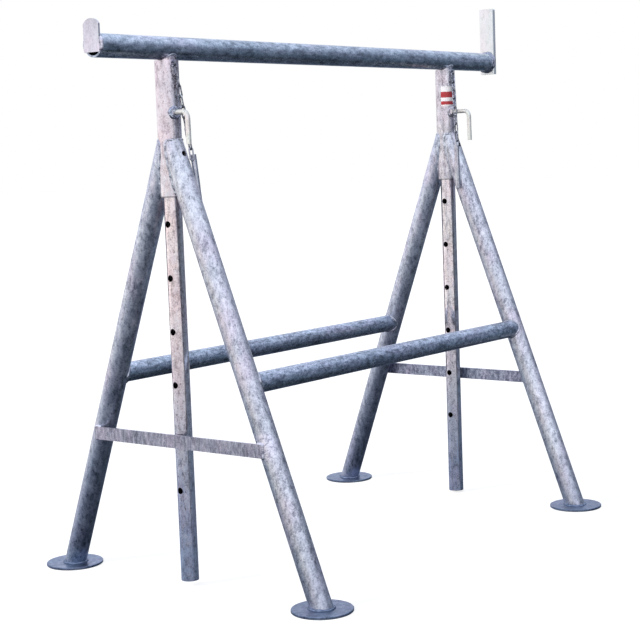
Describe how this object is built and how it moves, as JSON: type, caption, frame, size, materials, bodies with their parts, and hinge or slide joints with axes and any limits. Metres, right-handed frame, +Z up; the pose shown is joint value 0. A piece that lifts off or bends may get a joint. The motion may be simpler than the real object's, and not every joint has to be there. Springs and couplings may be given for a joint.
{
  "type": "builders trestle",
  "caption": "Height-adjustable tubular builders trestle: splayed legs with foot plates, telescopic pinned posts, clamp screws, and a crossbar with end stops that carries scaffold boards.",
  "frame": {"origin": "on the floor, midway between the axes of the two posts", "axes": "+X along the crossbar towards the tall end stop, +Y towards the rear legs, away from the clamp screws, +Z up"},
  "size_m": [1.308, 0.747, 1.1324],
  "materials": {
    "galvanised_frame": "hot-dip galvanised, spangled and lightly weathered",
    "galvanised_chain": "galvanised wire and rod",
    "plated_screw": "zinc plated, slightly yellow"
  },
  "bodies": {
    "frame": {"left_sleeve": "galvanised_frame", "right_sleeve": "galvanised_frame", "front_left_leg": "galvanised_frame", "rear_left_leg": "galvanised_frame", "front_right_leg": "galvanised_frame", "rear_right_leg": "galvanised_frame", "front_left_foot": "galvanised_frame", "rear_left_foot": "galvanised_frame", "front_right_foot": "galvanised_frame", "rear_right_foot": "galvanised_frame", "front_rail": "galvanised_frame", "rear_rail": "galvanised_frame", "left_stay": "galvanised_frame", "right_stay": "galvanised_frame", "left_clamp_nut": "plated_screw", "right_clamp_nut": "plated_screw", "left_chain_staple": "galvanised_chain", "right_chain_staple": "galvanised_chain"},
    "head": {"crossbar": "galvanised_frame", "left_inner_post": "galvanised_frame", "right_inner_post": "galvanised_frame", "left_end_stop": "galvanised_frame", "right_end_stop": "galvanised_frame"},
    "left_screw": {"left_clamp_screw": "plated_screw"},
    "right_screw": {"right_clamp_screw": "plated_screw"},
    "left_chain_run": {"left_chain": "galvanised_chain"},
    "right_chain_run": {"right_chain": "galvanised_chain"},
    "left_pin": {"left_locking_pin": "galvanised_chain"},
    "right_pin": {"right_locking_pin": "galvanised_chain"}
  },
  "joints": [
    {"name": "height_slide", "type": "slide", "parent": "frame", "child": "head", "axis": [0, 0, 1], "range_m": [0, 0.8]},
    {"name": "left_screw_turn", "type": "hinge", "parent": "frame", "child": "left_screw", "pos_m": [-0.4625, 0, 0.89], "axis": [-0.2756, -0.9613, 0], "continuous": true},
    {"name": "right_screw_turn", "type": "hinge", "parent": "frame", "child": "right_screw", "pos_m": [0.4625, 0, 0.89], "axis": [-0.2756, -0.9613, 0], "continuous": true},
    {"name": "left_chain_swing", "type": "hinge", "parent": "frame", "child": "left_chain_run", "pos_m": [-0.47014, -0.02663, 0.9747], "axis": [-0.2756, -0.9613, 0], "range_deg": [0, 45]},
    {"name": "right_chain_swing", "type": "hinge", "parent": "frame", "child": "right_chain_run", "pos_m": [0.45487, -0.02663, 0.9747], "axis": [0.2756, 0.9613, 0], "range_deg": [0, 45]},
    {"name": "left_pin_swing", "type": "hinge", "parent": "left_chain_run", "child": "left_pin", "pos_m": [-0.44473, -0.03461, 0.82141], "axis": [-0.2756, -0.9611, 0.0175], "range_deg": [0, 45]},
    {"name": "right_pin_swing", "type": "hinge", "parent": "right_chain_run", "child": "right_pin", "pos_m": [0.44169, -0.04164, 0.82185], "axis": [0.2755, 0.9607, 0.0349], "range_deg": [0, 45]}
  ]
}
